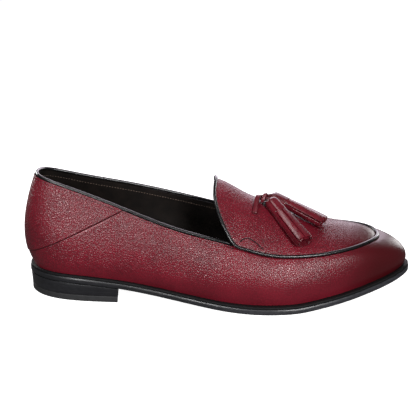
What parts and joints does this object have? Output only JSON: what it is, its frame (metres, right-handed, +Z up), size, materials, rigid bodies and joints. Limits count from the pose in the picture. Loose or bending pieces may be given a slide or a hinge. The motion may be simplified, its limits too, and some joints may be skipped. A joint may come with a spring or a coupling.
{
  "type": "tassel loafer",
  "caption": "Right slip-on loafer in burgundy pebbled leather, with black piping round its apron and collar, a leather sole, a low stacked heel, and tassels on a knotted lace.",
  "frame": {"origin": "on the floor, under the middle of the shoe's bounding box", "axes": "+X from heel to toe, +Y towards the inner (medial) side, +Z up; the outer (lateral) side faces -Y"},
  "size_m": [0.3029, 0.1028, 0.096],
  "materials": {
    "leather": "pebbled burgundy leather, waxed",
    "tassel_leather": "smooth burgundy leather",
    "black_leather": "smooth black leather",
    "sole_edge": "black sole leather with polished edges",
    "lining": "matt black lining leather",
    "rubber": "black rubber"
  },
  "bodies": {
    "root": {"upper": "leather", "piping_apron": "black_leather", "piping_collar": "black_leather", "insole": "lining", "welt": "black_leather", "outsole": "sole_edge", "heel_block": "sole_edge", "top_lift": "rubber", "lace_knot": "tassel_leather", "tassel_side": "tassel_leather", "tassel_front": "tassel_leather"}
  },
  "joints": []
}
